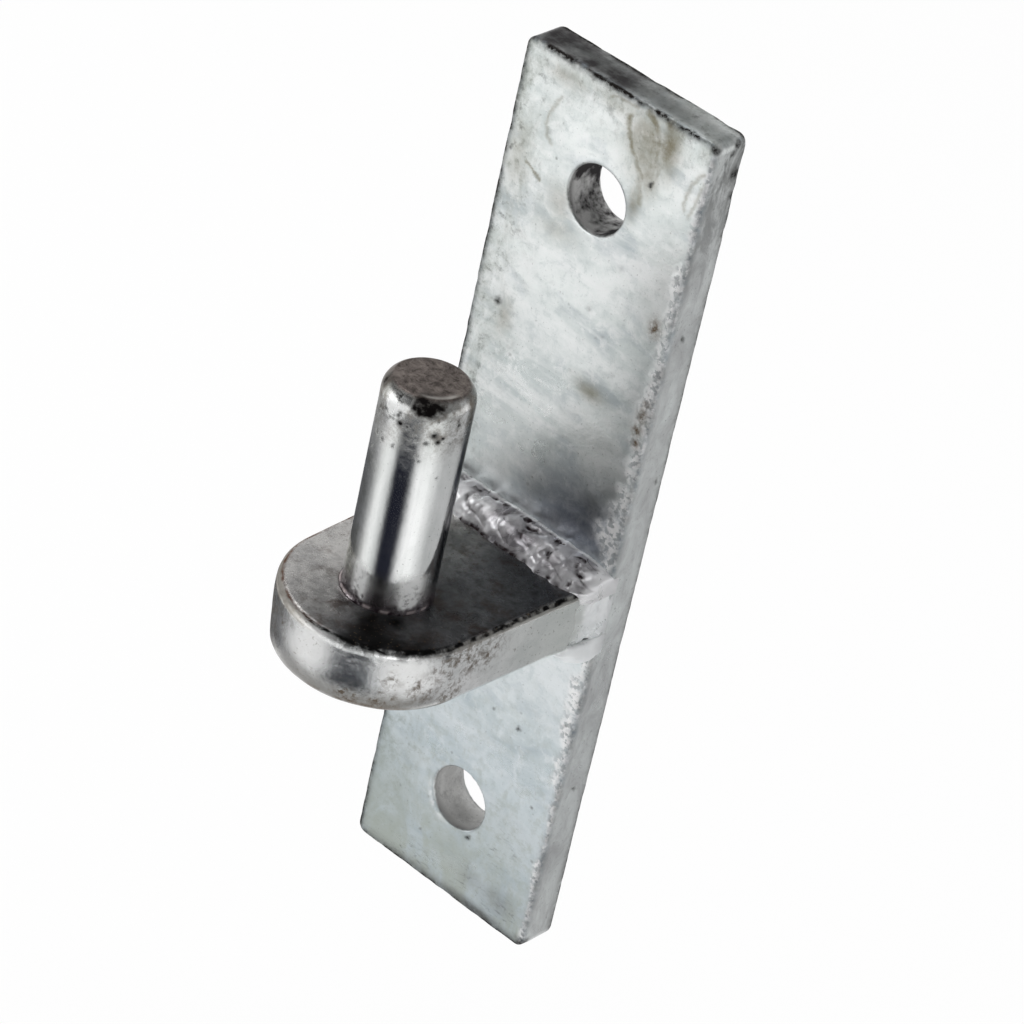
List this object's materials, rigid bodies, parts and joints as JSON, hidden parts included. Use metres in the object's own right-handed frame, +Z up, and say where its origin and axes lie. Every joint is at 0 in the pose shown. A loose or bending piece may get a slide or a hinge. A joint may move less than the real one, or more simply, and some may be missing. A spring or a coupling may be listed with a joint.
{
  "type": "gate hinge pin",
  "caption": "Galvanised hook on plate: a flat bolt-on back plate with a welded round-nosed tongue that carries an upright pin for a gate's hinge eye.",
  "frame": {"origin": "centre of the plate's back face, where it lies on the post", "axes": "+Z up along the pin, +Y into the post, -Y towards the gate, +X to the right seen from the gate side"},
  "size_m": [0.0502, 0.0725, 0.2],
  "materials": {
    "zinc_plate": "hot-dip zinc, pale and mottled, satin, with stains and pits",
    "zinc_tongue": "hot-dip zinc, dirty grey, satin to glossy",
    "zinc_pin": "hot-dip zinc, smooth and glossy, rough and brownish at the top end",
    "zinc_weld": "hot-dip zinc over a rippled weld, glossy with dark hollows"
  },
  "bodies": {
    "root": {"back_plate": "zinc_plate", "tongue": "zinc_tongue", "hinge_pin": "zinc_pin", "upper_weld": "zinc_weld", "lower_weld": "zinc_weld", "right_weld": "zinc_weld", "left_weld": "zinc_weld", "pin_weld": "zinc_weld"}
  },
  "joints": []
}
